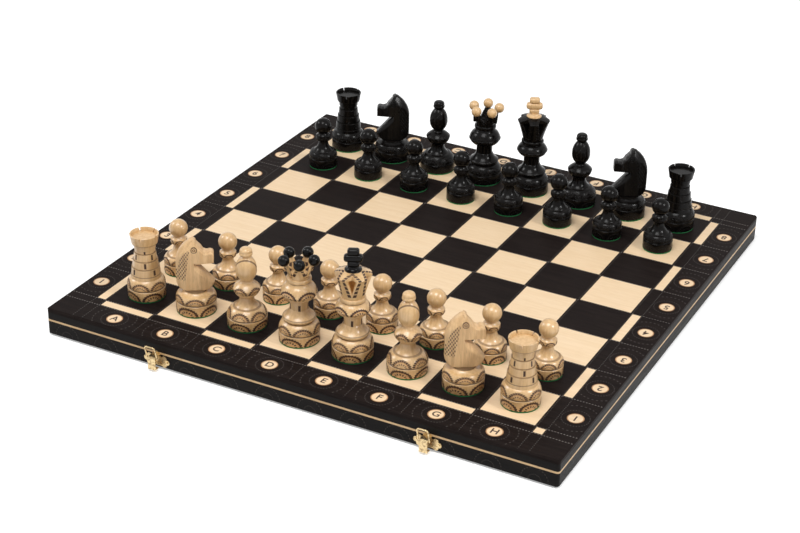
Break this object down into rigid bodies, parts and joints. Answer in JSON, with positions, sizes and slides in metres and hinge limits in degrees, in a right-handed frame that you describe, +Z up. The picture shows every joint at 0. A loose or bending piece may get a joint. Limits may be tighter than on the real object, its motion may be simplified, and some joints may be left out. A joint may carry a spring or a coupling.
{
  "type": "folding chess set",
  "caption": "Folding wooden chess board with inlaid squares, brass hinges and clasps, and turned and carved chessmen standing on their starting squares.",
  "frame": {"origin": "middle of the fold, in the plane of the open board's underside", "axes": "+X along the files from A to H, +Y along the ranks from 1 to 8, +Z up from the playing face"},
  "size_m": [0.52, 0.5408, 0.1356],
  "materials": {
    "dark_veneer": "satin varnish",
    "rail_wood": "satin varnish",
    "pale_inlay": "satin varnish",
    "pale_chessmen": "gloss varnish",
    "dark_chessmen": "gloss varnish",
    "brass": "aged"
  },
  "bodies": {
    "near_half": {"near_front_rail": "rail_wood", "near_hinge_leaves": "brass", "near_left_rail": "rail_wood", "near_light_inlay": "pale_inlay", "near_panel": "dark_veneer", "near_right_rail": "rail_wood", "near_screws": "brass", "near_spine_rail": "rail_wood", "near_stringing": "pale_inlay", "hinge_pins": "brass", "clasp_plates": "brass"},
    "far_half": {"far_back_rail": "rail_wood", "far_hinge_leaves": "brass", "far_left_rail": "rail_wood", "far_light_inlay": "pale_inlay", "far_panel": "dark_veneer", "far_right_rail": "rail_wood", "far_screws": "brass", "far_spine_rail": "rail_wood", "far_stringing": "pale_inlay", "clasp_catches": "brass"},
    "left_bail": {"left_clasp_bail": "brass"},
    "right_bail": {"right_clasp_bail": "brass"},
    "black_bishop_c_man": {"black_bishop_c": "dark_chessmen"},
    "black_bishop_f_man": {"black_bishop_f": "dark_chessmen"},
    "black_king_man": {"black_king": "dark_chessmen", "black_king_finial": "pale_chessmen"},
    "black_knight_b_man": {"black_knight_b": "dark_chessmen"},
    "black_knight_g_man": {"black_knight_g": "dark_chessmen"},
    "black_pawn_a_man": {"black_pawn_a": "dark_chessmen"},
    "black_pawn_b_man": {"black_pawn_b": "dark_chessmen"},
    "black_pawn_c_man": {"black_pawn_c": "dark_chessmen"},
    "black_pawn_d_man": {"black_pawn_d": "dark_chessmen"},
    "black_pawn_e_man": {"black_pawn_e": "dark_chessmen"},
    "black_pawn_f_man": {"black_pawn_f": "dark_chessmen"},
    "black_pawn_g_man": {"black_pawn_g": "dark_chessmen"},
    "black_pawn_h_man": {"black_pawn_h": "dark_chessmen"},
    "black_queen_man": {"black_queen": "dark_chessmen", "black_queen_balls": "pale_chessmen"},
    "black_rook_a_man": {"black_rook_a": "dark_chessmen"},
    "black_rook_h_man": {"black_rook_h": "dark_chessmen"},
    "white_bishop_c_man": {"white_bishop_c": "pale_chessmen"},
    "white_bishop_f_man": {"white_bishop_f": "pale_chessmen"},
    "white_king_man": {"white_king": "pale_chessmen", "white_king_finial": "dark_chessmen"},
    "white_knight_b_man": {"white_knight_b": "pale_chessmen"},
    "white_knight_g_man": {"white_knight_g": "pale_chessmen"},
    "white_pawn_a_man": {"white_pawn_a": "pale_chessmen"},
    "white_pawn_b_man": {"white_pawn_b": "pale_chessmen"},
    "white_pawn_c_man": {"white_pawn_c": "pale_chessmen"},
    "white_pawn_d_man": {"white_pawn_d": "pale_chessmen"},
    "white_pawn_e_man": {"white_pawn_e": "pale_chessmen"},
    "white_pawn_f_man": {"white_pawn_f": "pale_chessmen"},
    "white_pawn_g_man": {"white_pawn_g": "pale_chessmen"},
    "white_pawn_h_man": {"white_pawn_h": "pale_chessmen"},
    "white_queen_man": {"white_queen": "pale_chessmen", "white_queen_balls": "dark_chessmen"},
    "white_rook_a_man": {"white_rook_a": "pale_chessmen"},
    "white_rook_h_man": {"white_rook_h": "pale_chessmen"}
  },
  "joints": [
    {"name": "board_fold", "type": "hinge", "parent": "near_half", "child": "far_half", "pos_m": [0, 0, -0.00015], "axis": [-1, 0, 0], "range_deg": [0, 180]},
    {"name": "left_bail_swing", "type": "hinge", "parent": "near_half", "child": "left_bail", "pos_m": [-0.138, -0.2674, 0.0115], "axis": [1, 0, 0], "range_deg": [0, 165]},
    {"name": "right_bail_swing", "type": "hinge", "parent": "near_half", "child": "right_bail", "pos_m": [0.138, -0.2674, 0.0115], "axis": [1, 0, 0], "range_deg": [0, 165]},
    {"name": "black_bishop_c_lift", "type": "slide", "parent": "far_half", "child": "black_bishop_c_man", "axis": [0, 0, 1], "range_m": [0, 0.12]},
    {"name": "black_bishop_f_lift", "type": "slide", "parent": "far_half", "child": "black_bishop_f_man", "axis": [0, 0, 1], "range_m": [0, 0.12]},
    {"name": "black_king_lift", "type": "slide", "parent": "far_half", "child": "black_king_man", "axis": [0, 0, 1], "range_m": [0, 0.12]},
    {"name": "black_knight_b_lift", "type": "slide", "parent": "far_half", "child": "black_knight_b_man", "axis": [0, 0, 1], "range_m": [0, 0.12]},
    {"name": "black_knight_g_lift", "type": "slide", "parent": "far_half", "child": "black_knight_g_man", "axis": [0, 0, 1], "range_m": [0, 0.12]},
    {"name": "black_pawn_a_lift", "type": "slide", "parent": "far_half", "child": "black_pawn_a_man", "axis": [0, 0, 1], "range_m": [0, 0.12]},
    {"name": "black_pawn_b_lift", "type": "slide", "parent": "far_half", "child": "black_pawn_b_man", "axis": [0, 0, 1], "range_m": [0, 0.12]},
    {"name": "black_pawn_c_lift", "type": "slide", "parent": "far_half", "child": "black_pawn_c_man", "axis": [0, 0, 1], "range_m": [0, 0.12]},
    {"name": "black_pawn_d_lift", "type": "slide", "parent": "far_half", "child": "black_pawn_d_man", "axis": [0, 0, 1], "range_m": [0, 0.12]},
    {"name": "black_pawn_e_lift", "type": "slide", "parent": "far_half", "child": "black_pawn_e_man", "axis": [0, 0, 1], "range_m": [0, 0.12]},
    {"name": "black_pawn_f_lift", "type": "slide", "parent": "far_half", "child": "black_pawn_f_man", "axis": [0, 0, 1], "range_m": [0, 0.12]},
    {"name": "black_pawn_g_lift", "type": "slide", "parent": "far_half", "child": "black_pawn_g_man", "axis": [0, 0, 1], "range_m": [0, 0.12]},
    {"name": "black_pawn_h_lift", "type": "slide", "parent": "far_half", "child": "black_pawn_h_man", "axis": [0, 0, 1], "range_m": [0, 0.12]},
    {"name": "black_queen_lift", "type": "slide", "parent": "far_half", "child": "black_queen_man", "axis": [0, 0, 1], "range_m": [0, 0.12]},
    {"name": "black_rook_a_lift", "type": "slide", "parent": "far_half", "child": "black_rook_a_man", "axis": [0, 0, 1], "range_m": [0, 0.12]},
    {"name": "black_rook_h_lift", "type": "slide", "parent": "far_half", "child": "black_rook_h_man", "axis": [0, 0, 1], "range_m": [0, 0.12]},
    {"name": "white_bishop_c_lift", "type": "slide", "parent": "near_half", "child": "white_bishop_c_man", "axis": [0, 0, 1], "range_m": [0, 0.12]},
    {"name": "white_bishop_f_lift", "type": "slide", "parent": "near_half", "child": "white_bishop_f_man", "axis": [0, 0, 1], "range_m": [0, 0.12]},
    {"name": "white_king_lift", "type": "slide", "parent": "near_half", "child": "white_king_man", "axis": [0, 0, 1], "range_m": [0, 0.12]},
    {"name": "white_knight_b_lift", "type": "slide", "parent": "near_half", "child": "white_knight_b_man", "axis": [0, 0, 1], "range_m": [0, 0.12]},
    {"name": "white_knight_g_lift", "type": "slide", "parent": "near_half", "child": "white_knight_g_man", "axis": [0, 0, 1], "range_m": [0, 0.12]},
    {"name": "white_pawn_a_lift", "type": "slide", "parent": "near_half", "child": "white_pawn_a_man", "axis": [0, 0, 1], "range_m": [0, 0.12]},
    {"name": "white_pawn_b_lift", "type": "slide", "parent": "near_half", "child": "white_pawn_b_man", "axis": [0, 0, 1], "range_m": [0, 0.12]},
    {"name": "white_pawn_c_lift", "type": "slide", "parent": "near_half", "child": "white_pawn_c_man", "axis": [0, 0, 1], "range_m": [0, 0.12]},
    {"name": "white_pawn_d_lift", "type": "slide", "parent": "near_half", "child": "white_pawn_d_man", "axis": [0, 0, 1], "range_m": [0, 0.12]},
    {"name": "white_pawn_e_lift", "type": "slide", "parent": "near_half", "child": "white_pawn_e_man", "axis": [0, 0, 1], "range_m": [0, 0.12]},
    {"name": "white_pawn_f_lift", "type": "slide", "parent": "near_half", "child": "white_pawn_f_man", "axis": [0, 0, 1], "range_m": [0, 0.12]},
    {"name": "white_pawn_g_lift", "type": "slide", "parent": "near_half", "child": "white_pawn_g_man", "axis": [0, 0, 1], "range_m": [0, 0.12]},
    {"name": "white_pawn_h_lift", "type": "slide", "parent": "near_half", "child": "white_pawn_h_man", "axis": [0, 0, 1], "range_m": [0, 0.12]},
    {"name": "white_queen_lift", "type": "slide", "parent": "near_half", "child": "white_queen_man", "axis": [0, 0, 1], "range_m": [0, 0.12]},
    {"name": "white_rook_a_lift", "type": "slide", "parent": "near_half", "child": "white_rook_a_man", "axis": [0, 0, 1], "range_m": [0, 0.12]},
    {"name": "white_rook_h_lift", "type": "slide", "parent": "near_half", "child": "white_rook_h_man", "axis": [0, 0, 1], "range_m": [0, 0.12]}
  ]
}
